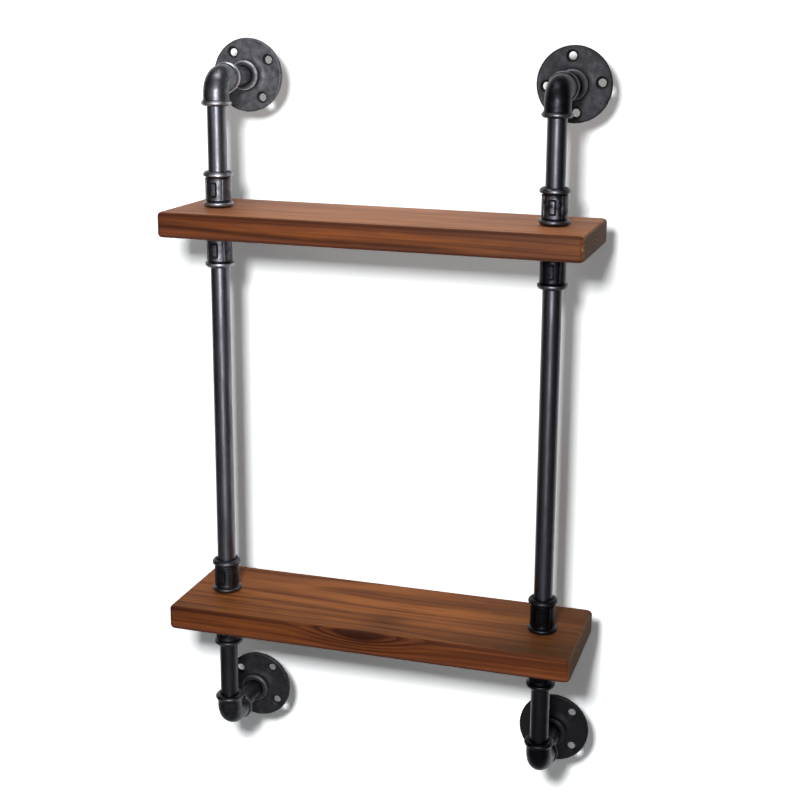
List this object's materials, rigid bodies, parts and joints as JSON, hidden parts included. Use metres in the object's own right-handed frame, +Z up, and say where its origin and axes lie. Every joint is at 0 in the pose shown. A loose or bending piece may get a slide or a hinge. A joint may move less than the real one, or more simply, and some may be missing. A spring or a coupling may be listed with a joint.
{
  "type": "pipe shelving unit",
  "caption": "Wall-mounted shelf unit: solid wood boards clamped between couplings on two runs of screwed steel pipe that turn back to round wall flanges.",
  "frame": {"origin": "on the wall plane, midway between the wall flanges", "axes": "+X along the boards, to the right for someone facing the wall; +Y into the wall; +Z up"},
  "size_m": [0.476, 0.156, 0.855],
  "materials": {
    "pipe_steel": "dark gunmetal, oiled, with a soft sheen",
    "cast_iron": "dark malleable iron, slightly rough casting skin",
    "stained_wood": "reddish brown stain, satin, open grain"
  },
  "bodies": {
    "root": {"flange_upper_left": "cast_iron", "wall_nipple_upper_left": "pipe_steel", "elbow_upper_left": "cast_iron", "coupling_above_upper_board_left": "cast_iron", "coupling_below_upper_board_left": "cast_iron", "board_nipple_upper_left": "pipe_steel", "flange_lower_left": "cast_iron", "wall_nipple_lower_left": "pipe_steel", "elbow_lower_left": "cast_iron", "coupling_above_lower_board_left": "cast_iron", "coupling_below_lower_board_left": "cast_iron", "board_nipple_lower_left": "pipe_steel", "riser_left": "pipe_steel", "long_pipe_left": "pipe_steel", "drop_pipe_left": "pipe_steel", "flange_upper_right": "cast_iron", "wall_nipple_upper_right": "pipe_steel", "elbow_upper_right": "cast_iron", "coupling_above_upper_board_right": "cast_iron", "coupling_below_upper_board_right": "cast_iron", "board_nipple_upper_right": "pipe_steel", "flange_lower_right": "cast_iron", "wall_nipple_lower_right": "pipe_steel", "elbow_lower_right": "cast_iron", "coupling_above_lower_board_right": "cast_iron", "coupling_below_lower_board_right": "cast_iron", "board_nipple_lower_right": "pipe_steel", "riser_right": "pipe_steel", "long_pipe_right": "pipe_steel", "drop_pipe_right": "pipe_steel", "upper_board": "stained_wood", "lower_board": "stained_wood"}
  },
  "joints": []
}
